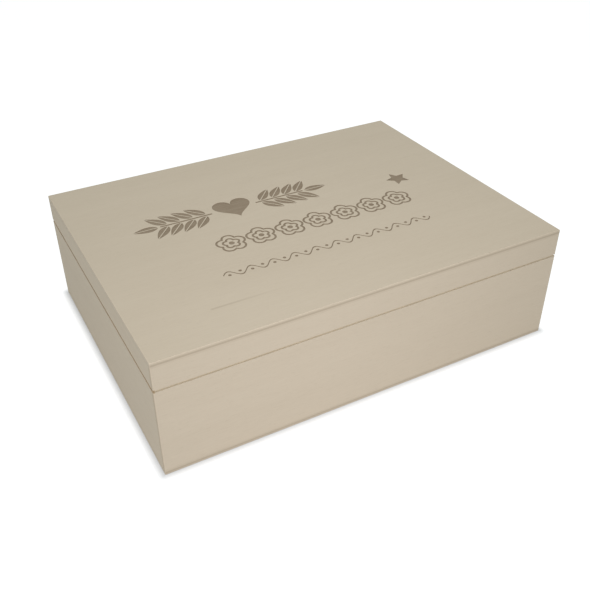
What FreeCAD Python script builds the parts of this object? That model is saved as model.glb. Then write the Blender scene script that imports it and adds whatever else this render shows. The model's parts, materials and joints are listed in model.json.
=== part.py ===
"""Hinged wooden gift box for papers and keepsakes.

Two frames of solid wood, one for the box and one for the lid, have rebated corners and are closed by thin
plywood panels that are glued on flush. A shadow groove runs round the front and sides where the lid meets the
box. The back rims are bevelled there instead, and two small butt hinges are let into them, with their barrels
between the bevels.

Millimetres. +Z is up, the long side runs along X and the front faces -Y. The origin is the centre of the
underside.
"""

import FreeCAD, Part

import math
import os

# Outside of the closed box
BOX_LENGTH = 320.0
BOX_DEPTH = 240.0

# Boards: solid wood frames, plywood top and bottom
WALL_THICKNESS = 9.0
BOX_WALL_HEIGHT = 68.0
LID_RAIL_HEIGHT = 17.7
PANEL_THICKNESS = 4.0
LID_GAP = 0.3

# Corner joint: the front and back boards keep a lip that covers the ends of the side boards
CORNER_LIP = 3.0
EDGE_ROUND = 0.6

# Shadow groove: each rim is rebated by this much on the front and sides
GROOVE_DEPTH = 1.0
GROOVE_STEP = 0.6

# Butt hinges, rolled from sheet
HINGE_INSET = 65.0
HINGE_LENGTH = 30.0
HINGE_SHEET = 0.7
HINGE_PIN_RADIUS = 0.5
HINGE_PIN_CLEARANCE = 0.05
HINGE_PIN_CHAMFER = 0.2
HINGE_RUNNING_GAP = 0.2
HINGE_KNUCKLE_COUNT = 3
HINGE_INNER_MARGIN = 1.3
LID_STOP_ANGLE = 103.0

# Room round the hinges in their pockets
POCKET_CLEARANCE = 0.2

# Countersunk hinge screws: the head is a share of the leaf's flat, the shank a share of the head
SCREWS_PER_LEAF = 2
SCREW_LENGTH = 8.0
SCREW_TIP_LENGTH = 1.6
SCREW_CLEARANCE = 0.05
SCREW_HEAD_SHARE = 0.35
SCREW_SHANK_SHARE = 0.5

# How far a cutting tool runs past the wood
OVERRUN = 2.0

# Heights that follow from the boards
BOX_RIM = PANEL_THICKNESS + BOX_WALL_HEIGHT
LID_RIM = BOX_RIM + LID_GAP
LID_FRAME_TOP = LID_RIM + LID_RAIL_HEIGHT
BOX_HEIGHT = LID_FRAME_TOP + PANEL_THICKNESS

# Places of the outside faces
RIGHT_X = BOX_LENGTH / 2
BACK_Y = BOX_DEPTH / 2

# The hinge axis lies at half the gap, with the barrel flush with the back face
BARREL_RADIUS = HINGE_PIN_RADIUS + HINGE_PIN_CLEARANCE + HINGE_SHEET
AXIS_Y = BACK_Y - BARREL_RADIUS
AXIS_Z = BOX_RIM + LID_GAP / 2
KNUCKLE_LENGTH = HINGE_LENGTH / HINGE_KNUCKLE_COUNT
KNUCKLE_ROOM = BARREL_RADIUS + HINGE_RUNNING_GAP

# The leaf reaches from the axis into the wall, and its flat starts where the other leaf's knuckles are clear
LEAF_REACH = WALL_THICKNESS - BARREL_RADIUS - HINGE_INNER_MARGIN
LEAF_FLAT = LEAF_REACH - KNUCKLE_ROOM
SCREW_Y = AXIS_Y - KNUCKLE_ROOM - LEAF_FLAT / 2
SCREW_HEAD_RADIUS = LEAF_FLAT * SCREW_HEAD_SHARE
SCREW_SHANK_RADIUS = SCREW_HEAD_RADIUS * SCREW_SHANK_SHARE

# The bevels of the back rims are as deep as lets the lid open to its stop, where their outer edges meet
BACK_BEVEL = BARREL_RADIUS * math.tan(math.radians(LID_STOP_ANGLE / 2)) - LID_GAP / 2

# Side of the hinge axis on which a leaf lies, and end of the box along X
BOX_SIDE = -1
LID_SIDE = 1
ENDS = {"left": -1, "right": 1}

ALONG_X = FreeCAD.Vector(1, 0, 0)
UP = FreeCAD.Vector(0, 0, 1)


def plan_prism(plan, z_low, z_high):
    """A prism between two heights on an outline drawn in plan."""
    corners = [FreeCAD.Vector(x, y, z_low) for x, y in plan]
    face = Part.Face(Part.makePolygon(corners + corners[:1]))
    return face.extrude(UP * (z_high - z_low))


def rectangle(x_one, x_two, y_one, y_two):
    """The plan of a rectangle between two pairs of lines."""
    return [(x_one, y_one), (x_two, y_one), (x_two, y_two), (x_one, y_two)]


def outline_prism(z_low, z_high):
    """The box's whole outline between two heights."""
    return plan_prism(rectangle(-RIGHT_X, RIGHT_X, -BACK_Y, BACK_Y), z_low, z_high)


def upright_edges(shape):
    """The vertical edges of a prism."""
    return [e for e in shape.Edges if abs(e.tangentAt(e.FirstParameter).dot(UP)) > math.cos(math.radians(1))]


def edges_of_face(shape, normal):
    """The edges of the face of a prism that looks along a direction."""
    face = max(shape.Faces, key=lambda f: f.CenterOfMass.dot(normal))
    return face.Edges


def groove_cut(rim_z, side):
    """What the shadow groove takes off a rim on the front and sides. The side is that of the frame."""
    foot_z = rim_z + side * GROOVE_STEP
    around = outline_prism(rim_z, foot_z)
    kept_x = RIGHT_X - GROOVE_DEPTH
    kept_front = -BACK_Y + GROOVE_DEPTH
    return around.cut(plan_prism(rectangle(-kept_x, kept_x, kept_front, BACK_Y), rim_z, foot_z))


def frame_envelope(rim_z, far_z, side):
    """The outside that a frame is planed to: rounded corners, the groove, and a bevel on the back of its rim."""
    plain = outline_prism(rim_z, far_z)
    rounded = plain.makeFillet(EDGE_ROUND, upright_edges(plain))
    back_rim = max(edges_of_face(plain, UP * -side), key=lambda edge: edge.CenterOfMass.y)
    bevelled = plain.makeChamfer(BACK_BEVEL, [back_rim])
    return rounded.common(bevelled).cut(groove_cut(rim_z, side))


def long_board_plan(facing):
    """Plan of a front (facing -1) or back (facing 1) board, with a rebate at each end for the side boards."""
    outer_y = facing * BACK_Y
    lip_y = facing * (BACK_Y - CORNER_LIP)
    inner_y = facing * (BACK_Y - WALL_THICKNESS)
    shoulder_x = RIGHT_X - WALL_THICKNESS
    right_half = [(RIGHT_X, outer_y), (RIGHT_X, lip_y), (shoulder_x, lip_y), (shoulder_x, inner_y)]
    left_half = [(-x, y) for x, y in reversed(right_half)]
    return right_half + left_half


def side_board_plan(end):
    """Plan of a left (end -1) or right (end 1) board, which runs between the lips of the long boards."""
    lip_y = BACK_Y - CORNER_LIP
    return rectangle(end * RIGHT_X, end * (RIGHT_X - WALL_THICKNESS), -lip_y, lip_y)


def frame_boards(rim_z, far_z, side):
    """The front, back, left and right board of a frame, from its rim to its far edge."""
    envelope = frame_envelope(rim_z, far_z, side)
    plans = [long_board_plan(-1), long_board_plan(1), side_board_plan(-1), side_board_plan(1)]
    return [plan_prism(plan, rim_z, far_z).common(envelope) for plan in plans]


def plywood_panel(z_low, z_high, outer_normal):
    """A panel of the whole outline, with its corners and the edges of its outer face rounded."""
    plain = outline_prism(z_low, z_high)
    return plain.makeFillet(EDGE_ROUND, upright_edges(plain) + edges_of_face(plain, outer_normal))


def hinge_x(end):
    """Middle of a hinge along X."""
    return end * (RIGHT_X - HINGE_INSET)


def screw_places(middle_x):
    """Places of a leaf's screws along X, evenly spread."""
    pitch = HINGE_LENGTH / SCREWS_PER_LEAF
    first = middle_x - pitch * (SCREWS_PER_LEAF - 1) / 2
    return [first + pitch * i for i in range(SCREWS_PER_LEAF)]


def leaf_faces(side):
    """Heights of a leaf's two faces. The first is flush with the rim, the second lies on the pocket's floor."""
    flush = AXIS_Z + side * LID_GAP / 2
    return flush, flush + side * HINGE_SHEET


def axis_rod(radius, x_low, x_high):
    """A rod along the hinge axis."""
    return Part.makeCylinder(radius, x_high - x_low, FreeCAD.Vector(x_low, AXIS_Y, AXIS_Z), ALONG_X)


def screw(x, side, grow=0.0):
    """A countersunk screw driven in from the rim. Grown by a clearance, it is the hole for that screw."""
    flush, under_head = leaf_faces(side)
    tip = flush + side * (SCREW_LENGTH + grow)
    neck = tip - side * SCREW_TIP_LENGTH
    head_radius = SCREW_HEAD_RADIUS + grow
    shank_radius = SCREW_SHANK_RADIUS + grow
    profile = [(0, flush), (head_radius, flush), (shank_radius, under_head), (shank_radius, neck), (0, tip)]
    points = [FreeCAD.Vector(x + radius, SCREW_Y, z) for radius, z in profile]
    half_section = Part.Face(Part.makePolygon(points + points[:1]))
    return half_section.revolve(points[0], UP, 360)


def cut_hinge_pocket(board, middle_x, side):
    """Lets one leaf, the barrel and the screws into the rim of a back board."""
    x_low = middle_x - HINGE_LENGTH / 2 - POCKET_CLEARANCE
    x_high = middle_x + HINGE_LENGTH / 2 + POCKET_CLEARANCE
    inner_y = AXIS_Y - LEAF_REACH - POCKET_CLEARANCE
    flush, floor = leaf_faces(side)
    seat = plan_prism(rectangle(x_low, x_high, inner_y, BACK_Y + OVERRUN), floor, flush - side * OVERRUN)
    barrel_room = axis_rod(BARREL_RADIUS + POCKET_CLEARANCE, x_low, x_high)
    holes = [screw(x, side, SCREW_CLEARANCE) for x in screw_places(middle_x)]
    return board.cut([seat, barrel_room] + holes)


def hinge_leaf(middle_x, side):
    """One leaf with its own knuckles, cut back round those of the other. The box leaf has the outermost."""
    x_start = middle_x - HINGE_LENGTH / 2
    x_end = middle_x + HINGE_LENGTH / 2
    own_turn = 0 if side == BOX_SIDE else 1
    knuckles = []
    notches = []
    for i in range(HINGE_KNUCKLE_COUNT):
        low = x_start + KNUCKLE_LENGTH * i
        high = low + KNUCKLE_LENGTH
        if i % 2 == own_turn:
            low = max(x_start, low + HINGE_RUNNING_GAP / 2)
            high = min(x_end, high - HINGE_RUNNING_GAP / 2)
            knuckles.append(axis_rod(BARREL_RADIUS, low, high))
        else:
            low = low - HINGE_RUNNING_GAP / 2
            high = high + HINGE_RUNNING_GAP / 2
            plan = rectangle(low, high, AXIS_Y - KNUCKLE_ROOM, AXIS_Y + KNUCKLE_ROOM)
            notches.append(plan_prism(plan, AXIS_Z - KNUCKLE_ROOM, AXIS_Z + KNUCKLE_ROOM))
    bore = axis_rod(HINGE_PIN_RADIUS + HINGE_PIN_CLEARANCE, x_start - OVERRUN, x_end + OVERRUN)
    holes = [screw(x, side, SCREW_CLEARANCE) for x in screw_places(middle_x)]
    plate = plan_prism(rectangle(x_start, x_end, AXIS_Y - LEAF_REACH, AXIS_Y), *leaf_faces(side))
    return plate.cut(notches).fuse(knuckles).cut([bore] + holes).removeSplitter()


def hinge_pin(middle_x):
    """The pin through all the knuckles, with eased ends."""
    rod = axis_rod(HINGE_PIN_RADIUS, middle_x - HINGE_LENGTH / 2, middle_x + HINGE_LENGTH / 2)
    ends = edges_of_face(rod, ALONG_X) + edges_of_face(rod, -ALONG_X)
    return rod.makeChamfer(HINGE_PIN_CHAMFER, ends)


def frame_nodes(names, rim_z, far_z, side):
    """The four boards of a frame by name, with the hinge pockets cut in the back one."""
    boards = dict(zip(names, frame_boards(rim_z, far_z, side)))
    back = names[1]
    for end in ENDS.values():
        boards[back] = cut_hinge_pocket(boards[back], hinge_x(end), side)
    return boards


def box_nodes():
    """The box: bottom panel and four walls."""
    names = ["front_wall", "back_wall", "left_wall", "right_wall"]
    nodes = frame_nodes(names, BOX_RIM, PANEL_THICKNESS, BOX_SIDE)
    nodes["bottom_panel"] = plywood_panel(0, PANEL_THICKNESS, -UP)
    return nodes


def lid_nodes():
    """The lid: top panel and four rails."""
    names = ["lid_front_rail", "lid_back_rail", "lid_left_rail", "lid_right_rail"]
    nodes = frame_nodes(names, LID_RIM, LID_FRAME_TOP, LID_SIDE)
    nodes["lid_panel"] = plywood_panel(LID_FRAME_TOP, BOX_HEIGHT, UP)
    return nodes


def hinge_nodes():
    """Pins, leaves and screws of both hinges."""
    nodes = {}
    for place, end in ENDS.items():
        middle_x = hinge_x(end)
        nodes[f"{place}_hinge_pin"] = hinge_pin(middle_x)
        for half, side in (("box", BOX_SIDE), ("lid", LID_SIDE)):
            screws = [screw(x, side) for x in screw_places(middle_x)]
            nodes[f"{place}_hinge_{half}_leaf"] = hinge_leaf(middle_x, side)
            nodes[f"{place}_hinge_{half}_screws"] = Part.makeCompound(screws)
    return nodes


def main():
    """Writes one STEP file for each piece."""
    os.makedirs("parts", exist_ok=True)
    nodes = {**box_nodes(), **lid_nodes(), **hinge_nodes()}
    for name, shape in nodes.items():
        shape.exportStep(f"parts/{name}.step")
        print(f"{name}: {len(shape.Solids)} solid(s), valid {shape.isValid()}, {shape.Volume:.2f} mm3")
    print(f"outside {BOX_LENGTH} x {BOX_DEPTH} x {BOX_HEIGHT:.2f}, back bevel {BACK_BEVEL:.3f}")
    print(f"hinge axis y {AXIS_Y:.3f} z {AXIS_Z:.3f}, leaf reach {LEAF_REACH:.3f}, head {SCREW_HEAD_RADIUS:.3f}")


main()
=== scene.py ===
"""Dresses a hinged wooden gift box: lime boards, an engraved plywood lid, brass hinges and a pale stage.

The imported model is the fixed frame, in metres: +Z is up, the front faces -Y and the hinges are at the back.
"""

import json
import math

import bmesh
import bpy
from bpy.props import FloatProperty, FloatVectorProperty, IntProperty, PointerProperty
from mathutils import Matrix, Vector


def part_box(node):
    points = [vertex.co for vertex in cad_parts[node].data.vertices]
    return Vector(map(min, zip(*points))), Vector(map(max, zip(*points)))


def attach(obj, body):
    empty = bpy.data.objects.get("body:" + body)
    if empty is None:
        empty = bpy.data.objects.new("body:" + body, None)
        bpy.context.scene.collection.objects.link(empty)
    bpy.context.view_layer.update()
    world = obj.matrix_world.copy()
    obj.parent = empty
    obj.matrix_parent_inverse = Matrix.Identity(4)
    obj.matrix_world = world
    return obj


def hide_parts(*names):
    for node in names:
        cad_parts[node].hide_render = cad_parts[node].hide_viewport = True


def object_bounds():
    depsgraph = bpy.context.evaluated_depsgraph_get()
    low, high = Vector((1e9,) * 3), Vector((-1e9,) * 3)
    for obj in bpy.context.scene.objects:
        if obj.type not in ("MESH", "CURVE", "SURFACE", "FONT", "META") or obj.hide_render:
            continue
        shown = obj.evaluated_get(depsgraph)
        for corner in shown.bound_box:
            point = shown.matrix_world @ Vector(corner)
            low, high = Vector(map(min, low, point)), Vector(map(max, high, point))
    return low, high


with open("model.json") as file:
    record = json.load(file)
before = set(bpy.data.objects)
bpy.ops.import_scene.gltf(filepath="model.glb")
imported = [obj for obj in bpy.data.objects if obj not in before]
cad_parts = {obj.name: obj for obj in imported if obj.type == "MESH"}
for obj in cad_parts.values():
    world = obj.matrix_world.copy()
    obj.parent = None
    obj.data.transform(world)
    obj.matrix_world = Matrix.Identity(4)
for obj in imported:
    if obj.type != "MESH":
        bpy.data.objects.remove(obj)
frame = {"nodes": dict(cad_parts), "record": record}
CAD_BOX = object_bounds()

bl_info = {
    "name": "Wooden Gift Box",
    "version": (1, 0, 0),
    "blender": (4, 5, 0),
    "location": "3D View > Sidebar > Gift Box",
    "description": "Finishes the boards, engraves the lid, fits the hinges and sets the stage",
    "category": "Object",
}

MM = 0.001

# Nodes of the frame, by what they are on the real box
LONG_BOARDS = ("front_wall", "back_wall", "lid_front_rail", "lid_back_rail")
SIDE_BOARDS = ("left_wall", "right_wall", "lid_left_rail", "lid_right_rail")
LEAVES_AND_PINS = [name for name in frame["nodes"] if name.endswith(("_leaf", "_pin"))]
SCREW_GROUPS = [name for name in frame["nodes"] if name.endswith("_screws")]
BODY_OF = {node: body for body, nodes in frame["record"]["behaviour"]["bodies"].items() for node in nodes}

# Axes by number, as vectors count them
X, Y, Z = 0, 1, 2
X_AXIS = Vector((1, 0, 0))
Y_AXIS = Vector((0, 1, 0))
Z_AXIS = Vector((0, 0, 1))


def linear(hex_colour):
    """Turns an sRGB hex colour into linear red, green and blue."""
    channels = [int(hex_colour[start:start + 2], 16) / 255 for start in (1, 3, 5)]
    return tuple(c / 12.92 if c <= 0.04045 else ((c + 0.055) / 1.055) ** 2.4 for c in channels)


def colour_property(name, description, hex_colour):
    """A colour that a user may change, given as it looks on screen."""
    return FloatVectorProperty(
        name=name, description=description, subtype="COLOR", size=3, min=0, max=1, default=linear(hex_colour)
    )


def length_property(name, description, millimetres):
    """A length that a user may change, given in millimetres and kept in metres."""
    return FloatProperty(
        name=name, description=description, unit="LENGTH", min=0, precision=5, default=millimetres * MM
    )


def angle_property(name, description, degrees):
    """An angle that a user may change."""
    return FloatProperty(name=name, description=description, subtype="ANGLE", default=math.radians(degrees))


def level_property(name, description, level):
    """A level from 0 to 1 that a user may change."""
    return FloatProperty(name=name, description=description, subtype="FACTOR", min=0, max=1, default=level)


# Settings

class WoodSettings(bpy.types.PropertyGroup):
    """Colours of the wood."""

    pale: colour_property("Pale lime", "Early wood of boards and veneers", "#D1C4B0")
    dark: colour_property("Dark lime", "Late wood and fibres of boards and veneers", "#C3B5A0")
    end_grain: colour_property("End grain", "Ends of the solid boards", "#BCAD96")
    sawn: colour_property("Sawn lime", "Rims, where the lid was sawn off the box", "#C6BAA3")
    # Painted shade: a darker tone of the wood in the groove on the two sides, where shade falls
    painted_groove_shade: colour_property("Scorched lime", "Groove on the sides, where its cutter ran hot", "#B29E82")
    core: colour_property("Plywood core", "Cut ends of the fibres in a plywood edge", "#B6A893")
    burnt: colour_property("Burnt lime", "Floor of the laser engraving", "#9F907D")
    soot: colour_property("Soot", "Darkest lines of the laser engraving", "#877762")


class EngravingSettings(bpy.types.PropertyGroup):
    """Sizes of the ornament on the lid."""

    depth: length_property("Depth", "How deep the laser burns into the veneer", 0.3)
    heart_width: length_property("Heart width", "Width of the heart in the first row", 31)
    leaf_length: length_property("Leaf length", "Length of a leaf of the two sprigs", 20)
    leaf_width: length_property("Leaf width", "Width of a leaf of the two sprigs", 8)
    leaf_pairs: IntProperty(name="Leaf pairs", description="Pairs of leaves on a sprig", min=1, default=4)
    blossom_size: length_property("Blossom size", "Outside of a blossom in the second row", 24)
    blossom_count: IntProperty(name="Blossoms", description="Blossoms in the second row", min=1, default=7)
    wave_length: length_property("Wave length", "One wave of the third row's line", 17.2)
    wave_count: IntProperty(name="Waves", description="Waves in the third row's line", min=1, default=10)
    star_radius: length_property("Star radius", "From the star's middle to a point", 10)
    line_width: length_property("Line width", "Width of the outlines and stems", 1.6)


class HingeSettings(bpy.types.PropertyGroup):
    """Colours of the brass, and the screws' slots and threads."""

    leaf_brass: colour_property("Leaf brass", "Rolled sheet of leaves and pins", "#D0A85C")
    screw_brass: colour_property("Screw brass", "Turned brass of the screws", "#D8B46A")
    head_depth: length_property("Head depth", "Depth of a screw's countersunk head", 0.7)
    slot_width: length_property("Slot width", "Width of a screw's slot", 0.5)
    slot_depth: length_property("Slot depth", "Depth of a screw's slot", 0.45)
    thread_pitch: length_property("Thread pitch", "From one turn of a screw's thread to the next", 0.8)


class StageSettings(bpy.types.PropertyGroup):
    """Floor, light and camera."""

    floor_colour: colour_property("Floor", "Plain pale floor", "#C4C6C8")
    floor_size: length_property("Floor size", "Side of the floor", 8000)
    floor_lift: level_property("Floor lift", "White added where the floor is seen", 0.65)
    # Painted shadow: less added white at the box's foot darkens a narrow band round it, lighter in front and
    # behind
    foot_lift: level_property("Foot lift", "White added to the floor at the box's foot", 0.15)
    front_lift: level_property("Front lift", "More white at the foot, in front and behind", 0.1)
    foot_reach: length_property("Foot reach", "How far from the box the added white is whole", 5.5)
    sky_colour: colour_property("Sky", "Soft light from all round", "#FAFFFD")
    sky_strength: level_property("Sky strength", "Level of the light from all round", 0.662)
    key_colour: colour_property("Key light", "Softbox behind the camera", "#FFFAFF")
    key_power: FloatProperty(
        name="Key power", description="Power of the softbox", subtype="POWER", min=0, default=0.466
    )
    key_size: length_property("Key size", "Side of the softbox behind the camera", 250)
    key_spread: angle_property("Key spread", "Angle that the softbox's grid lets through", 40)
    camera_azimuth: angle_property("Camera azimuth", "Turn of the view from straight ahead", -28.08)
    camera_elevation: angle_property("Camera elevation", "Tilt of the view from level", 34.99)
    camera_roll: angle_property("Camera roll", "Tilt of the view about its own line", -0.47)
    camera_lens: FloatProperty(
        name="Camera lens", description="Focal length on a 36 mm frame", subtype="DISTANCE_CAMERA",
        default=47.2,
    )


# Materials

# Values that the noise of every streak shares
NOISE_DETAIL = 2.0
NOISE_ROUGHNESS = 0.55

# How a mask rises from 0 to 1 between two values of its field
SMOOTH = {"interpolation_type": "SMOOTHSTEP"}

# Share of a band's half width over which its ends fade
BAND_SOFTNESS = 0.1

# Sizes of a normal's part along an axis from which a face begins to count as facing it, and counts in full
FACING_START, FACING_WHOLE = 0.6, 0.8

# Socket numbers of a colour Mix node, whose sockets share their names
MIX_FACTOR, MIX_FIRST, MIX_SECOND = 0, 6, 7


def add_node(material, kind, inputs=None, **settings):
    """Adds a shader node. Inputs give each socket its value, or the node or output that feeds it."""
    tree = material.node_tree
    node = tree.nodes.new(kind)
    for name, value in settings.items():
        setattr(node, name, value)
    for socket, value in (inputs or {}).items():
        if isinstance(value, bpy.types.Node):
            value = next(output for output in value.outputs if output.enabled)
        if isinstance(value, bpy.types.NodeSocket):
            tree.links.new(value, node.inputs[socket])
        else:
            node.inputs[socket].default_value = value
    return node


def new_material(name):
    """An empty node material."""
    material = bpy.data.materials.new(name)
    material.use_nodes = True
    material.node_tree.nodes.clear()
    return material


def opaque(colour):
    """A colour with its alpha."""
    return (*colour, 1.0)


def streaks(material, place, along, length_mm, width_mm, detail=NOISE_DETAIL):
    """Soft random streaks of a real length and width, which run along one axis."""
    scale = [1 / (width_mm * MM)] * 3
    scale[along] = 1 / (length_mm * MM)
    stretched = add_node(material, "ShaderNodeMapping", {"Vector": place, "Scale": scale})
    inputs = {"Vector": stretched, "Scale": 1.0, "Detail": detail, "Roughness": NOISE_ROUGHNESS}
    return add_node(material, "ShaderNodeTexNoise", inputs)


def weighted_sum(material, fields, start):
    """Adds fields, each times its weight, to a start value."""
    total = start
    for field, weight in fields:
        terms = {0: field, 1: weight, 2: total}
        total = add_node(material, "ShaderNodeMath", terms, operation="MULTIPLY_ADD")
    return total


def overlap(material, first, *others):
    """Fields times each other: of masks, 1 where all are 1 and 0 where any is 0."""
    shared = first
    for field in others:
        shared = add_node(material, "ShaderNodeMath", {0: shared, 1: field}, operation="MULTIPLY")
    return shared


def band(material, field, middle, half):
    """1 where a field lies within half a width of a middle, and 0 beyond it."""
    off = add_node(material, "ShaderNodeMath", {0: field, 1: middle}, operation="SUBTRACT")
    size = add_node(material, "ShaderNodeMath", {0: off}, operation="ABSOLUTE")
    ends = {"Value": size, "From Min": half * (1 + BAND_SOFTNESS), "From Max": half * (1 - BAND_SOFTNESS)}
    return add_node(material, "ShaderNodeMapRange", ends, **SMOOTH)


def facing(material, normal, axis):
    """1 on faces that look along an axis, either way, and 0 on the others."""
    parts = add_node(material, "ShaderNodeSeparateXYZ", {"Vector": normal})
    size = add_node(material, "ShaderNodeMath", {0: parts.outputs[axis]}, operation="ABSOLUTE")
    turned = {"Value": size, "From Min": FACING_START, "From Max": FACING_WHOLE}
    return add_node(material, "ShaderNodeMapRange", turned, **SMOOTH)


def shade(material, colour, roughness, height, bump_mm, constants):
    """Ends a material: a Principled shader with its bump, and constant values on its own sockets."""
    relief = {"Height": height, "Distance": bump_mm * MM, "Strength": 1.0}
    bump = add_node(material, "ShaderNodeBump", relief)
    inputs = {"Base Color": colour, "Roughness": roughness, "Normal": bump, **constants}
    shader = add_node(material, "ShaderNodeBsdfPrincipled", inputs)
    add_node(material, "ShaderNodeOutputMaterial", {"Surface": shader})
    return material


# Lime

# Constant shader values: raw wood has less gloss than a varnished face
RAW_WOOD = {"Specular IOR Level": 0.2}

# What each part of the figure adds to the wood's darkness, and the darkness without them
CLOUD_WEIGHT = 0.35
RING_WEIGHT = 0.3
FIBRE_WEIGHT = 0.55
FLECK_WEIGHT = 0.3
FIGURE_START = -0.12

# Noise values from which a ray fleck begins to show, and shows in full
FLECK_START, FLECK_WHOLE = 0.68, 0.8

# Roughness between the fibres, and what the fibres add to it
BOARD_ROUGHNESS = 0.62
VENEER_ROUGHNESS = 0.6
FIBRE_ROUGHNESS = 0.12
FIBRE_BUMP_MM = 0.03

# Rims of box and lid, and the groove that runs round them
RIM_HEIGHT = (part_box("front_wall")[1].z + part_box("lid_front_rail")[0].z) / 2
GROOVE_HEIGHT = 1.5 * MM
GROOVE_DEPTH = 1 * MM

# How far the painted shade of the side groove reaches past the groove
GROOVE_SHADE_REACH = 0.5 * MM

# Plywood: its veneers, and how dark the outer ones' edges are beside the core's: cut ends of their fibres on
# the short edges, and painted shade on the long edges, which dims the light along them
VENEERS = 3
OUTER_END_GRAIN_AND_SHADE_DEPTH = 0.25

# Mineral streak in the lid's veneer, and how dark it is beside the core's edge
MINERAL_START = Vector((-106, -87.5, 0)) * MM
MINERAL_LENGTH = 62 * MM
MINERAL_WIDTH = 1.6 * MM
MINERAL_DEPTH = 0.6
NO_MINERAL = 0.0

# What the laser's lines and the scorched clouds add to the burn's darkness, and the darkness without them
TRAVEL_WEIGHT = 1.2
SCORCH_WEIGHT = 0.8
BURN_START = -0.5
BURN_ROUGHNESS = 0.85
BURN_BUMP_MM = 0.05


def lime_figure(material, place, along, wood):
    """Colour and fibres of sanded lime: soft clouds, faint growth rings, fine fibres and short ray flecks.

    Lime's own fibres are too fine to show, so they are drawn as bundles of about half a millimetre.
    """
    clouds = streaks(material, place, along, length_mm=160, width_mm=45)
    rings = streaks(material, place, along, length_mm=240, width_mm=7)
    fibres = streaks(material, place, along, length_mm=14, width_mm=0.55)
    flecks = streaks(material, place, along, length_mm=4.5, width_mm=0.45, detail=0.0)
    fleck_range = {"Value": flecks, "From Min": FLECK_START, "From Max": FLECK_WHOLE}
    fleck_mask = add_node(material, "ShaderNodeMapRange", fleck_range, **SMOOTH)
    figure = [
        (clouds, CLOUD_WEIGHT),
        (rings, RING_WEIGHT),
        (fibres, FIBRE_WEIGHT),
        (fleck_mask, FLECK_WEIGHT),
    ]
    depth = weighted_sum(material, figure, start=FIGURE_START)
    tones = {MIX_FACTOR: depth, MIX_FIRST: opaque(wood.pale), MIX_SECOND: opaque(wood.dark)}
    return add_node(material, "ShaderNodeMix", tones, data_type="RGBA"), fibres


def side_groove_painted_shade(material, parts):
    """Where painted shade darkens the groove on the two sides: 1 in and close round it and 0 elsewhere, from
    the parts of a place.
    """
    tall = band(material, parts.outputs[Z], RIM_HEIGHT, GROOVE_HEIGHT / 2 + GROOVE_SHADE_REACH)
    out = add_node(material, "ShaderNodeMath", {0: parts.outputs[X]}, operation="ABSOLUTE")
    groove_end = CAD_BOX[1].x - GROOVE_DEPTH
    sides = {"Value": out, "From Min": groove_end - GROOVE_SHADE_REACH, "From Max": groove_end}
    return overlap(material, tall, add_node(material, "ShaderNodeMapRange", sides, **SMOOTH))


def sanded_lime(name, along, wood):
    """Solid lime, planed and sanded fine, raw: pale and even, with faint rings and darker, closer end grain.

    The rims, and the groove beside them, keep the deeper tone of the saw.
    On the two sides, the groove is darkened with painted shade, a darker tone where shade falls.
    """
    material = new_material(name)
    coordinates = add_node(material, "ShaderNodeTexCoord")
    place = coordinates.outputs["Object"]
    side_grain, fibres = lime_figure(material, place, along, wood)
    pores = streaks(material, place, along, length_mm=0.6, width_mm=0.6)
    end_tones = {MIX_FACTOR: pores, MIX_FIRST: opaque(wood.end_grain), MIX_SECOND: opaque(wood.dark)}
    end_grain = add_node(material, "ShaderNodeMix", end_tones, data_type="RGBA")
    end = facing(material, coordinates.outputs["Normal"], along)
    grains = {MIX_FACTOR: end, MIX_FIRST: side_grain, MIX_SECOND: end_grain}
    grain = add_node(material, "ShaderNodeMix", grains, data_type="RGBA")
    parts = add_node(material, "ShaderNodeSeparateXYZ", {"Vector": place})
    rim = band(material, parts.outputs[Z], RIM_HEIGHT, GROOVE_HEIGHT / 2)
    cuts = {MIX_FACTOR: rim, MIX_FIRST: grain, MIX_SECOND: opaque(wood.sawn)}
    cut = add_node(material, "ShaderNodeMix", cuts, data_type="RGBA")
    # Painted shade in the side groove, drawn as a darker tone of the wood
    groove_shade_tones = {MIX_FACTOR: side_groove_painted_shade(material, parts), MIX_FIRST: cut, MIX_SECOND: opaque(wood.painted_groove_shade)}
    colour = add_node(material, "ShaderNodeMix", groove_shade_tones, data_type="RGBA")
    roughness = weighted_sum(material, [(fibres, FIBRE_ROUGHNESS)], start=BOARD_ROUGHNESS)
    return shade(material, colour, roughness, fibres, FIBRE_BUMP_MM, RAW_WOOD)


def mineral_streak(material, parts):
    """A thin streak along +X that begins at once and then fades, from the parts of a place."""
    across = band(material, parts.outputs[Y], MINERAL_START.y, MINERAL_WIDTH / 2)
    beginning = {
        "Value": parts.outputs[X], "From Min": MINERAL_START.x - MINERAL_WIDTH, "From Max": MINERAL_START.x,
    }
    begun = add_node(material, "ShaderNodeMapRange", beginning, **SMOOTH)
    fading = {
        "Value": parts.outputs[X], "From Min": MINERAL_START.x + MINERAL_LENGTH, "From Max": MINERAL_START.x,
    }
    left = add_node(material, "ShaderNodeMapRange", fading, **SMOOTH)
    return overlap(material, across, begun, left)


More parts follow.
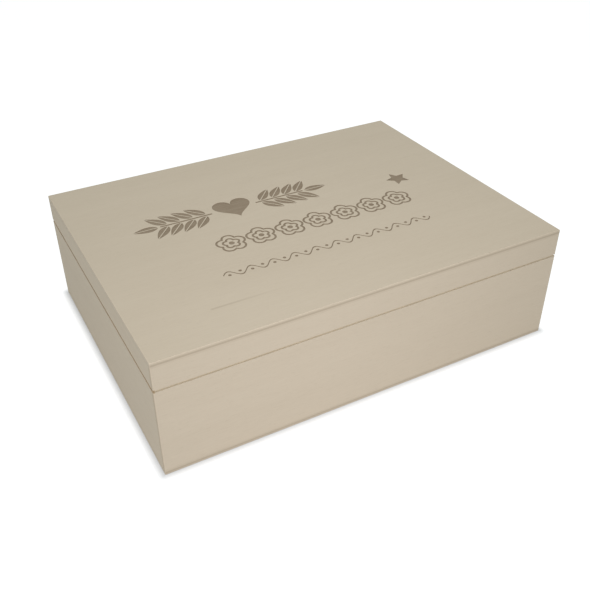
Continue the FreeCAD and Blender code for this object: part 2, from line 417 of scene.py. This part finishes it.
def lime_plywood(name, node, wood, streak_depth):
    """Three rotary-cut lime veneers, glued crosswise and sanded: where fibres are cut, the edges are darker.
    The outer veneers' long edges, whose fibres run along them, are darkened too, with painted shade.

    A thin mineral streak can lie in the upper veneer, as dark as its depth from 0 to 1.
    """
    material = new_material(name)
    low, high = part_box(node)
    middle = (low.z + high.z) / 2
    veneer = (high.z - low.z) / VENEERS
    coordinates = add_node(material, "ShaderNodeTexCoord")
    place = coordinates.outputs["Object"]
    figure, fibres = lime_figure(material, place, X, wood)
    parts = add_node(material, "ShaderNodeSeparateXYZ", {"Vector": place})
    core = band(material, parts.outputs[Z], middle, veneer / 2)
    outer = weighted_sum(material, [(core, -1.0)], start=1.0)
    long_edge = facing(material, coordinates.outputs["Normal"], Y)
    short_edge = facing(material, coordinates.outputs["Normal"], X)
    # Outer veneers: darker on the short edges, where their fibres are cut, and on the long edges with painted
    # shade
    edge = weighted_sum(material, [(long_edge, 1.0)], start=short_edge)
    cut_core = overlap(material, core, long_edge)
    outer_cut_and_shaded = overlap(material, outer, edge)
    rise = {"Value": parts.outputs[Z], "From Min": middle, "From Max": middle + veneer}
    upper = add_node(material, "ShaderNodeMapRange", rise, **SMOOTH)
    streak = overlap(material, upper, mineral_streak(material, parts))
    darker = [(cut_core, 1.0), (outer_cut_and_shaded, OUTER_END_GRAIN_AND_SHADE_DEPTH), (streak, streak_depth)]
    depth = weighted_sum(material, darker, start=0.0)
    tones = {MIX_FACTOR: depth, MIX_FIRST: figure, MIX_SECOND: opaque(wood.core)}
    colour = add_node(material, "ShaderNodeMix", tones, data_type="RGBA")
    roughness = weighted_sum(material, [(fibres, FIBRE_ROUGHNESS)], start=VENEER_ROUGHNESS)
    return shade(material, colour, roughness, fibres, FIBRE_BUMP_MM, RAW_WOOD)


def burnt_lime(name, wood):
    """Lime veneer burnt away by a laser, line by line: matt brown, with darker lines along its travel.

    The laser's own lines are too fine to show, so they are drawn half a millimetre wide.
    """
    material = new_material(name)
    place = add_node(material, "ShaderNodeTexCoord").outputs["Object"]
    travel = streaks(material, place, X, length_mm=30, width_mm=0.5)
    clouds = streaks(material, place, X, length_mm=12, width_mm=6)
    depth = weighted_sum(material, [(travel, TRAVEL_WEIGHT), (clouds, SCORCH_WEIGHT)], start=BURN_START)
    tones = {MIX_FACTOR: depth, MIX_FIRST: opaque(wood.burnt), MIX_SECOND: opaque(wood.soot)}
    colour = add_node(material, "ShaderNodeMix", tones, data_type="RGBA")
    return shade(material, colour, BURN_ROUGHNESS, travel, BURN_BUMP_MM, RAW_WOOD)


# Brass

METAL = {"Metallic": 1.0}

# Roughness of clean brass, and what its lines and its tarnish add
BRASS_ROUGHNESS = 0.2
LINE_ROUGHNESS = 0.16
TARNISH_ROUGHNESS = 0.14
LINE_BUMP_MM = 0.006

# Noise values from which tarnish begins to show, and shows in full, and how much light it keeps
TARNISH_START, TARNISH_WHOLE = 0.35, 0.75
TARNISH_SHADE = 0.72


def satin_brass(name, colour, along, line_mm):
    """Brass, satin from rolling or turning: warm and softly glossy, with lines the way it was worked.

    The lines are drawn wider than a mill or a lathe leaves them, so that they show from close by.
    """
    material = new_material(name)
    place = add_node(material, "ShaderNodeTexCoord").outputs["Object"]
    lines = streaks(material, place, along, length_mm=line_mm, width_mm=0.12)
    tarnish = streaks(material, place, along, length_mm=5, width_mm=3)
    dull_range = {"Value": tarnish, "From Min": TARNISH_START, "From Max": TARNISH_WHOLE}
    dull = add_node(material, "ShaderNodeMapRange", dull_range, **SMOOTH)
    dull_colour = tuple(channel * TARNISH_SHADE for channel in colour)
    tones = {MIX_FACTOR: dull, MIX_FIRST: opaque(colour), MIX_SECOND: opaque(dull_colour)}
    shown = add_node(material, "ShaderNodeMix", tones, data_type="RGBA")
    worn = [(lines, LINE_ROUGHNESS), (tarnish, TARNISH_ROUGHNESS)]
    roughness = weighted_sum(material, worn, start=BRASS_ROUGHNESS)
    return shade(material, shown, roughness, lines, LINE_BUMP_MM, METAL)


def dress(node, material):
    """Gives a node of the frame its material."""
    slots = frame["nodes"][node].data.materials
    slots.clear()
    slots.append(material)


# Mesh helpers

SHARP_ANGLE = math.radians(30)
FLAT_ANGLE = math.radians(0.5)
MERGE_DISTANCE = 0.001 * MM


def new_piece(name, bm, materials):
    """Makes an object at the origin from a bmesh, which is freed."""
    mesh = bpy.data.meshes.new(name)
    bm.to_mesh(mesh)
    bm.free()
    for material in materials:
        mesh.materials.append(material)
    piece = bpy.data.objects.new(name, mesh)
    bpy.context.scene.collection.objects.link(piece)
    return piece


def join_into(bm, part, place):
    """Moves a part by a matrix, adds it to a bmesh and frees it."""
    bmesh.ops.recalc_face_normals(part, faces=part.faces[:])
    bmesh.ops.transform(part, matrix=place, verts=part.verts)
    scratch = bpy.data.meshes.new("part")
    part.to_mesh(scratch)
    part.free()
    bm.from_mesh(scratch)
    bpy.data.meshes.remove(scratch)


def cut_away(piece, cutter):
    """Cuts one object out of another and removes the cutter. The cut keeps the cutter's material number."""
    modifier = piece.modifiers.new("cut", "BOOLEAN")
    modifier.operation = "DIFFERENCE"
    modifier.solver = "EXACT"
    modifier.object = cutter
    evaluated = piece.evaluated_get(bpy.context.evaluated_depsgraph_get())
    whole = piece.data
    piece.data = bpy.data.meshes.new_from_object(evaluated)
    piece.modifiers.clear()
    bpy.data.meshes.remove(whole)
    spent = cutter.data
    bpy.data.objects.remove(cutter)
    bpy.data.meshes.remove(spent)


def soften(piece):
    """Smooth shading, with sharp edges kept sharp and flat faces kept flat."""
    piece.data.shade_smooth()
    piece.data.set_sharp_from_angle(angle=SHARP_ANGLE)
    flat = piece.modifiers.new("flat faces", "WEIGHTED_NORMAL")
    flat.keep_sharp = True


# Engraving: flat outlines on the lid, which become one cutter

# Points of each outline
LEAF_SEGMENTS = 32
HEART_SEGMENTS = 48
PETAL_SEGMENTS = 12
CURVE_SEGMENTS = 24
DOT_SEGMENTS = 24

# Forms of the figures
LEAF_ANGLE = math.radians(48)
HEART_WAVES = (13, -5, -2, -1)
HEART_WAVE_SCALE = 16
PETALS = 5
STAR_POINTS = 5

# Half the side of the grid that a stem is bent from
GRID_HALF = 0.5

# Shares of the size of the figure that they belong to
LEAF_BELLY_SHARE = 0.22
LEAF_START_SHARE = 0.45
STAR_INNER_SHARE = 0.5
HEART_LIFT_SHARE = 0.08
PETAL_SHARE = 0.235
INNER_BLOSSOM_SHARE = 0.6
MIDDLE_SHARE = 0.09
WAVE_RISE_SHARE = 0.2
HOLLOW_SHARE = 0.3
THIN_LINE_SHARE = 0.75


def outline(bm, segments):
    """Adds a filled circle of radius 1, whose points the caller moves."""
    return bmesh.ops.create_circle(bm, cap_ends=True, segments=segments, radius=1.0)["verts"]


def faces_of(verts):
    """The faces round some points."""
    return list({face for vert in verts for face in vert.link_faces})


def add_leaf(bm, length, width, vein, place):
    """A pointed leaf from its foot at the origin along +X, in two halves with the vein left standing."""
    for half in (-1, 1):
        before = set(bm.verts)
        verts = outline(bm, LEAF_SEGMENTS)
        for vert in verts:
            x, y = vert.co.x, vert.co.y
            belly = LEAF_BELLY_SHARE * (1 - x * x)
            vert.co = ((x - belly + 1) * length / 2, half * y * abs(y) * width / 2, 0)
        edges = list({edge for vert in verts for edge in vert.link_edges})
        bmesh.ops.bisect_plane(
            bm, geom=verts + edges + faces_of(verts), plane_co=Y_AXIS * half * vein / 2,
            plane_no=Y_AXIS * half, clear_inner=True,
        )
        kept = [vert for vert in bm.verts if vert not in before]
        bmesh.ops.transform(bm, matrix=place, verts=kept)


def add_heart(bm, width, centre):
    """A solid heart on the usual heart curve, whose height is a sum of waves."""
    verts = outline(bm, HEART_SEGMENTS)
    for vert in verts:
        turn = math.atan2(vert.co.x, vert.co.y)
        x = math.sin(turn) ** 3
        waves = [size * math.cos(number * turn) for number, size in enumerate(HEART_WAVES, start=1)]
        y = sum(waves) / HEART_WAVE_SCALE
        vert.co = (x * width / 2, y * width / 2, 0)
    bmesh.ops.transform(bm, matrix=Matrix.Translation(centre), verts=verts)


def add_stem(bm, length, width, rise, place, waves=0.5):
    """A line of even width along +X that swings from side to side in a number of waves."""
    columns = max(CURVE_SEGMENTS, round(CURVE_SEGMENTS * waves))
    verts = bmesh.ops.create_grid(bm, x_segments=columns, y_segments=1, size=GRID_HALF)["verts"]
    for vert in verts:
        share = vert.co.x + GRID_HALF
        swing = rise * math.sin(2 * math.pi * waves * share)
        vert.co = (share * length, vert.co.y * width + swing, 0)
    bmesh.ops.transform(bm, matrix=place, verts=verts)


def add_dot(bm, radius, centre):
    """A solid round dot."""
    place = Matrix.Translation(centre) @ Matrix.Scale(radius, 4)
    bmesh.ops.transform(bm, matrix=place, verts=outline(bm, DOT_SEGMENTS))


def add_star(bm, radius, turn, centre):
    """A solid star, whose first point lies at a turn from +X."""
    verts = outline(bm, STAR_POINTS * 2)
    for index, vert in enumerate(verts):
        vert.co = vert.co * radius * (STAR_INNER_SHARE if index % 2 else 1.0)
    upright = math.pi / 2
    place = Matrix.Translation(centre) @ Matrix.Rotation(turn - upright, 4, "Z")
    bmesh.ops.transform(bm, matrix=place, verts=verts)


def add_petal_line(bm, size, line, centre):
    """The outline of five round petals."""
    petal_radius = size * PETAL_SHARE
    petal_place = size / 2 - petal_radius
    verts = outline(bm, PETALS * PETAL_SEGMENTS)
    sector = 2 * math.pi / PETALS
    for vert in verts:
        turn = math.atan2(vert.co.x, vert.co.y)
        off = (turn + sector / 2) % sector - sector / 2
        across = petal_place * math.sin(off)
        reach = petal_place * math.cos(off) + math.sqrt(max(0.0, petal_radius ** 2 - across ** 2))
        vert.co = vert.co * reach
    face = faces_of(verts)[0]
    inset = bmesh.ops.inset_region(bm, faces=[face], thickness=line, use_even_offset=True, use_boundary=True)
    ring_verts = list({vert for ring_face in inset["faces"] for vert in ring_face.verts})
    bmesh.ops.delete(bm, geom=[face], context="FACES_ONLY")
    bmesh.ops.transform(bm, matrix=Matrix.Translation(centre), verts=ring_verts)


def add_blossom(bm, size, line, centre):
    """A blossom of two outlines, one inside the other, with a solid middle."""
    add_petal_line(bm, size, line, centre)
    add_petal_line(bm, size * INNER_BLOSSOM_SHARE, line, centre)
    add_dot(bm, size * MIDDLE_SHARE, centre)


def add_sprig(bm, settings, side, length, centre):
    """A stem with pairs of leaves and one at its end, to the left (side -1) or the right (side 1)."""
    base = Matrix.Translation(centre) @ Matrix.Scale(side, 4, X_AXIS)
    stem = length - settings.leaf_length - settings.line_width
    add_stem(bm, stem, settings.line_width, 0.0, base)
    vein = settings.line_width / 2
    gap = settings.line_width
    pitch = stem / settings.leaf_pairs
    for pair in range(settings.leaf_pairs):
        for half in (-1, 1):
            foot = Vector((pitch * (pair + LEAF_START_SHARE), half * gap, 0))
            lean = Matrix.Rotation(half * LEAF_ANGLE, 4, "Z")
            place = base @ Matrix.Translation(foot) @ lean
            add_leaf(bm, settings.leaf_length, settings.leaf_width, vein, place)
    tip = Matrix.Translation((stem + settings.line_width, 0, 0))
    add_leaf(bm, settings.leaf_length, settings.leaf_width, vein, base @ tip)


# Places of the rows on the lid, from its middle
FIRST_ROW = Vector((-37.5, 28, 0)) * MM
FIRST_ROW_LENGTH = 165 * MM
SECOND_ROW = Vector((11, -19, 0)) * MM
SECOND_ROW_LENGTH = 168 * MM
THIRD_ROW = Vector((2, -56, 0)) * MM
STAR_PLACE = Vector((102.7, 8.8, 0)) * MM
STAR_TURN = math.radians(28)


def ornament(settings):
    """All the outlines of the ornament, flat, round the middle of the lid."""
    bm = bmesh.new()
    add_heart(bm, settings.heart_width, FIRST_ROW + Y_AXIS * settings.heart_width * HEART_LIFT_SHARE)
    clear = settings.heart_width / 2 + settings.line_width * 2
    for side in (-1, 1):
        add_sprig(bm, settings, side, FIRST_ROW_LENGTH / 2 - clear, FIRST_ROW + X_AXIS * side * clear)
    pitch = (SECOND_ROW_LENGTH - settings.blossom_size) / max(1, settings.blossom_count - 1)
    for index in range(settings.blossom_count):
        along = pitch * (index - (settings.blossom_count - 1) / 2)
        add_blossom(bm, settings.blossom_size, settings.line_width, SECOND_ROW + X_AXIS * along)
    run = settings.wave_length * settings.wave_count
    start = THIRD_ROW - X_AXIS * run / 2
    rise = settings.wave_length * WAVE_RISE_SHARE
    thin = settings.line_width * THIN_LINE_SHARE
    add_stem(bm, run, thin, rise, Matrix.Translation(start), settings.wave_count)
    for index in range(settings.wave_count * 2):
        side = 1 if index % 2 else -1
        middle = settings.wave_length * (index + 0.5) / 2
        add_dot(bm, thin, start + X_AXIS * middle + Y_AXIS * side * rise * HOLLOW_SHARE)
    add_star(bm, settings.star_radius, STAR_TURN, STAR_PLACE)
    return bm


def engraving_cutter(settings, lid_top):
    """The ornament as one cutter that reaches from the engraving's floor to above the lid."""
    bm = ornament(settings)
    bmesh.ops.transform(bm, matrix=Matrix.Translation(Z_AXIS * (lid_top - settings.depth)), verts=bm.verts)
    grown = bmesh.ops.extrude_face_region(bm, geom=bm.faces[:])["geom"]
    top = [item for item in grown if isinstance(item, bmesh.types.BMVert)]
    bmesh.ops.translate(bm, verts=top, vec=Z_AXIS * settings.depth * 2)
    bmesh.ops.recalc_face_normals(bm, faces=bm.faces[:])
    for face in bm.faces:
        face.material_index = 1
    return new_piece("engraving_cutter", bm, [])


def merged_copy(node):
    """A bmesh of a node of the frame with its loose triangles joined."""
    bm = bmesh.new()
    bm.from_mesh(frame["nodes"][node].data)
    bmesh.ops.remove_doubles(bm, verts=bm.verts[:], dist=MERGE_DISTANCE)
    bmesh.ops.dissolve_limit(bm, angle_limit=FLAT_ANGLE, verts=bm.verts[:], edges=bm.edges[:])
    for face in bm.faces:
        face.material_index = 0
    return bm


# Screws

SCREW_SEGMENTS = 32
THREAD_STEPS = 16

# The shank beside the head's radius, the core beside the shank, and the point beside the whole length
SHANK_SHARE = 0.5
CORE_SHARE = 0.72
POINT_SHARE = 0.2

# The neck's end and the thread's start, beside the head's depth
NECK_SHARE = 1.5
THREAD_START_SHARE = 2.2

# Half the thread's foot beside its pitch, and the radius of that foot beside the core's
THREAD_HALF_SHARE = 0.3
THREAD_ROOT_SHARE = 0.9

# A slot's length beside the head's radius, long enough to cut right across
SLOT_REACH = 3

# Turn from one screw's slot to the next one's
TURN_STEP = math.radians(67)


def add_thread(bm, core, crest, start, end, pitch):
    """A sharp thread that winds round a screw's core between two depths."""
    half = pitch * THREAD_HALF_SHARE
    root = core * THREAD_ROOT_SHARE
    corners = ((root, start + half), (crest, start), (root, start - half))
    face = bm.faces.new([bm.verts.new((radius, 0, depth)) for radius, depth in corners])
    turns = (start - end) / pitch
    steps = round(turns * THREAD_STEPS)
    bmesh.ops.spin(
        bm, geom=[face], cent=(0, 0, 0), axis=Z_AXIS, dvec=-Z_AXIS * pitch / THREAD_STEPS,
        angle=2 * math.pi * steps / THREAD_STEPS, steps=steps, use_duplicate=False,
    )


def add_screw_body(bm, head, length, head_depth):
    """A countersunk head, its core and its point, turned about Z with the head's top at the origin."""
    core = head * SHANK_SHARE * CORE_SHARE
    neck = length * (1 - POINT_SHARE)
    under = (head * SHANK_SHARE, -head_depth)
    profile = [(0, 0), (head, 0), under, (core, -head_depth * NECK_SHARE), (core, -neck), (0, -length)]
    verts = [bm.verts.new((radius, 0, depth)) for radius, depth in profile]
    edges = [bm.edges.new(pair) for pair in zip(verts, verts[1:])]
    bmesh.ops.spin(
        bm, geom=verts + edges, cent=(0, 0, 0), axis=Z_AXIS, angle=2 * math.pi, steps=SCREW_SEGMENTS,
        use_merge=True, use_duplicate=False,
    )
    bmesh.ops.remove_doubles(bm, verts=bm.verts[:], dist=MERGE_DISTANCE)
    return core, neck


# Operators

class GIFTBOX_OT_finish_boards(bpy.types.Operator):
    """Gives the boards and the bottom panel their wood"""

    bl_idname = "gift_box.finish_boards"
    bl_label = "Finish the Boards"

    def execute(self, context):
        wood = context.scene.gift_box_wood
        long_lime = sanded_lime("sanded_lime_along_the_front", X, wood)
        side_lime = sanded_lime("sanded_lime_along_the_sides", Y, wood)
        for node in LONG_BOARDS:
            dress(node, long_lime)
        for node in SIDE_BOARDS:
            dress(node, side_lime)
        dress("bottom_panel", lime_plywood("lime_plywood_bottom", "bottom_panel", wood, NO_MINERAL))
        return {"FINISHED"}


class GIFTBOX_OT_engrave_lid(bpy.types.Operator):
    """Makes the plywood lid panel with its laser-engraved ornament"""

    bl_idname = "gift_box.engrave_lid"
    bl_label = "Engrave the Lid"

    def execute(self, context):
        wood = context.scene.gift_box_wood
        settings = context.scene.gift_box_engraving
        plywood = lime_plywood("lime_plywood_lid", "lid_panel", wood, MINERAL_DEPTH)
        burnt = burnt_lime("laser_burnt_lime", wood)
        panel = new_piece("engraved_lid_panel", merged_copy("lid_panel"), [plywood, burnt])
        whole = len(panel.data.polygons)
        cut_away(panel, engraving_cutter(settings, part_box("lid_panel")[1].z))
        if len(panel.data.polygons) <= whole:
            raise RuntimeError("the engraving didn't cut the lid panel")
        soften(panel)
        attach(panel, BODY_OF["lid_panel"])
        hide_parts("lid_panel")
        return {"FINISHED"}


class GIFTBOX_OT_fit_hinges(bpy.types.Operator):
    """Gives the hinge leaves and pins their brass"""

    bl_idname = "gift_box.fit_hinges"
    bl_label = "Fit the Hinges"

    def execute(self, context):
        brass = satin_brass("rolled_brass", context.scene.gift_box_hinges.leaf_brass, X, line_mm=9)
        for node in LEAVES_AND_PINS:
            dress(node, brass)
        return {"FINISHED"}


class GIFTBOX_OT_drive_screws(bpy.types.Operator):
    """Makes the slotted screws of the hinges, a group for each leaf"""

    bl_idname = "gift_box.drive_screws"
    bl_label = "Drive the Screws"

    def execute(self, context):
        settings = context.scene.gift_box_hinges
        brass = satin_brass("turned_brass", settings.screw_brass, Z, line_mm=0.4)
        for number, node in enumerate(SCREW_GROUPS):
            piece = self.screw_group(node, number, settings, brass)
            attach(piece, BODY_OF[node])
            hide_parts(node)
        return {"FINISHED"}

    def screw_group(self, node, number, settings, brass):
        """The two screws of one leaf, with their slots left at different turns."""
        low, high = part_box(node)
        head = (high.y - low.y) / 2
        length = high.z - low.z
        down = BODY_OF[node] == "box"
        flush = high.z if down else low.z
        bodies = bmesh.new()
        threads = bmesh.new()
        slots = bmesh.new()
        for index, x in enumerate((low.x + head, high.x - head)):
            turn = Matrix.Rotation(TURN_STEP * (number * 2 + index), 4, "Z")
            over = Matrix.Identity(4) if down else Matrix.Rotation(math.pi, 4, "X")
            place = Matrix.Translation((x, (low.y + high.y) / 2, flush)) @ over @ turn
            body = bmesh.new()
            core, neck = add_screw_body(body, head, length, settings.head_depth)
            join_into(bodies, body, place)
            thread = bmesh.new()
            start = -settings.head_depth * THREAD_START_SHARE
            add_thread(thread, core, head * SHANK_SHARE, start, -neck, settings.thread_pitch)
            join_into(threads, thread, place)
            size = Matrix.Diagonal((head * SLOT_REACH, settings.slot_width, settings.slot_depth * 2, 1))
            bmesh.ops.create_cube(slots, size=1.0, matrix=place @ size)
        piece = new_piece(node.replace("_screws", "_slotted_screws"), bodies, [brass])
        cut_away(piece, new_piece("slot_cutter", slots, []))
        whole = bmesh.new()
        whole.from_mesh(piece.data)
        join_into(whole, threads, Matrix.Identity(4))
        whole.to_mesh(piece.data)
        whole.free()
        soften(piece)
        return piece


# Places of the stage, in the frame
CAMERA_PLACE = Vector((-247.8, -465.9, 384.6)) * MM
KEY_PLACE = Vector((-524, -1056, 756)) * MM
KEY_AIM = Vector((-20, -110, 50)) * MM
CLIP_START = 10 * MM

# Rays that show a surface as it is seen: directly, in gloss and through glass
SEEN_RAYS = ("Is Camera Ray", "Is Glossy Ray", "Is Transmission Ray")


class GIFTBOX_OT_set_stage(bpy.types.Operator):
    """Lays the floor, hangs the light and places the camera"""

    bl_idname = "gift_box.set_stage"
    bl_label = "Set the Stage"

    def execute(self, context):
        settings = context.scene.gift_box_stage
        self.lay_floor(settings)
        self.light_sky(context.scene, settings)
        self.hang_softbox(settings)
        self.place_camera(context.scene, settings)
        context.scene.view_settings.view_transform = "Standard"
        return {"FINISHED"}

    def seen(self, material):
        """1 on rays that show a surface as it is seen, and 0 on those that only light something."""
        path = add_node(material, "ShaderNodeLightPath")
        shown = 0.0
        for ray in SEEN_RAYS:
            either = {0: path.outputs[ray], 1: shown}
            shown = add_node(material, "ShaderNodeMath", either, operation="MAXIMUM")
        return shown

    def way_out(self, material):
        """The shortest way from the box's foot to a point of the floor, without its signs."""
        far_corner = Vector((CAD_BOX[1].x, CAD_BOX[1].y, 0))
        place = add_node(material, "ShaderNodeTexCoord").outputs["Object"]
        size = add_node(material, "ShaderNodeVectorMath", {0: place}, operation="ABSOLUTE")
        past = add_node(material, "ShaderNodeVectorMath", {0: size, 1: far_corner}, operation="SUBTRACT")
        return add_node(material, "ShaderNodeVectorMath", {0: past, 1: (0, 0, 0)}, operation="MAXIMUM")

    def lay_floor(self, settings):
        """A sheet of matt paper that looks white through an added glow on seen rays, held back at the box's
        foot: there its real shadow shows, deepened into a narrow painted shadow, lighter in front and behind.
        """
        material = new_material("matt_white_paper")
        diffuse = add_node(material, "ShaderNodeBsdfDiffuse", {"Color": opaque(settings.floor_colour)})
        way = self.way_out(material)
        distance = add_node(material, "ShaderNodeVectorMath", {0: way}, operation="LENGTH")
        direction = add_node(material, "ShaderNodeVectorMath", {0: way}, operation="NORMALIZE")
        parts = add_node(material, "ShaderNodeSeparateXYZ", {"Vector": direction})
        # Painted shadow: the glow is held back near the box's foot, less so in front and behind
        foot = weighted_sum(material, [(parts.outputs[Y], settings.front_lift)], start=settings.foot_lift)
        rise = {"From Max": settings.foot_reach, "To Min": foot, "To Max": settings.floor_lift}
        lift = add_node(material, "ShaderNodeMapRange", {"Value": distance, **rise})
        strength = overlap(material, lift, self.seen(material))
        glow = add_node(material, "ShaderNodeEmission", {"Strength": strength})
        both = add_node(material, "ShaderNodeAddShader", {0: diffuse, 1: glow})
        add_node(material, "ShaderNodeOutputMaterial", {"Surface": both})
        bm = bmesh.new()
        bmesh.ops.create_grid(bm, x_segments=1, y_segments=1, size=settings.floor_size / 2)
        new_piece("paper_floor", bm, [material])

    def light_sky(self, scene, settings):
        """Even light from all round, which is white where it is seen."""
        world = bpy.data.worlds.new("white_room")
        world.use_nodes = True
        world.node_tree.nodes.clear()
        scene.world = world
        soft_light = {"Color": opaque(settings.sky_colour), "Strength": settings.sky_strength}
        soft = add_node(world, "ShaderNodeBackground", soft_light)
        white = add_node(world, "ShaderNodeBackground", {"Color": (1, 1, 1, 1), "Strength": 1.0})
        either = add_node(world, "ShaderNodeMixShader", {0: self.seen(world), 1: soft, 2: white})
        add_node(world, "ShaderNodeOutputWorld", {"Surface": either})

    def hang_softbox(self, settings):
        """A square softbox with a grid behind the camera, turned towards the box."""
        lamp = bpy.data.lights.new("key_softbox", "AREA")
        lamp.energy = settings.key_power
        lamp.color = settings.key_colour
        lamp.size = settings.key_size
        lamp.spread = settings.key_spread
        light = bpy.data.objects.new("key_softbox", lamp)
        light.location = KEY_PLACE
        light.rotation_mode = "QUATERNION"
        light.rotation_quaternion = (KEY_AIM - KEY_PLACE).to_track_quat("-Z", "Y")
        light.visible_camera = False
        bpy.context.scene.collection.objects.link(light)

    def place_camera(self, scene, settings):
        """The photograph's viewpoint."""
        camera = bpy.data.objects.new("camera", bpy.data.cameras.new("camera"))
        camera.data.lens = settings.camera_lens
        camera.data.clip_start = CLIP_START
        turn = Matrix.Rotation(settings.camera_azimuth, 4, "Z")
        tilt = Matrix.Rotation(math.pi / 2 - settings.camera_elevation, 4, "X")
        roll = Matrix.Rotation(settings.camera_roll, 4, "Z")
        camera.matrix_world = Matrix.Translation(CAMERA_PLACE) @ turn @ tilt @ roll
        scene.collection.objects.link(camera)
        scene.camera = camera


class GIFTBOX_PT_sidebar(bpy.types.Panel):
    """Lists the steps and their settings"""

    bl_idname = "GIFTBOX_PT_sidebar"
    bl_label = "Gift Box"
    bl_space_type = "VIEW_3D"
    bl_region_type = "UI"
    bl_category = "Gift Box"

    def draw(self, context):
        for operator in OPERATORS:
            self.layout.operator(operator.bl_idname)
        for name, group in SETTINGS.items():
            part = self.layout.box()
            for field in group.__annotations__:
                part.prop(getattr(context.scene, name), field)


OPERATORS = (
    GIFTBOX_OT_finish_boards,
    GIFTBOX_OT_engrave_lid,
    GIFTBOX_OT_fit_hinges,
    GIFTBOX_OT_drive_screws,
    GIFTBOX_OT_set_stage,
)
SETTINGS = {
    "gift_box_wood": WoodSettings,
    "gift_box_engraving": EngravingSettings,
    "gift_box_hinges": HingeSettings,
    "gift_box_stage": StageSettings,
}


def register():
    """Registers the settings, the operators and the panel."""
    for name, group in SETTINGS.items():
        bpy.utils.register_class(group)
        setattr(bpy.types.Scene, name, PointerProperty(type=group))
    for cls in (*OPERATORS, GIFTBOX_PT_sidebar):
        bpy.utils.register_class(cls)


def unregister():
    """Takes back what register added."""
    for cls in (GIFTBOX_PT_sidebar, *reversed(OPERATORS)):
        bpy.utils.unregister_class(cls)
    for name, group in SETTINGS.items():
        delattr(bpy.types.Scene, name)
        bpy.utils.unregister_class(group)


def main():
    """Builds everything in order."""
    register()
    bpy.ops.gift_box.finish_boards()
    bpy.ops.gift_box.engrave_lid()
    bpy.ops.gift_box.fit_hinges()
    bpy.ops.gift_box.drive_screws()
    bpy.ops.gift_box.set_stage()


if __name__ == "__main__":
    main()
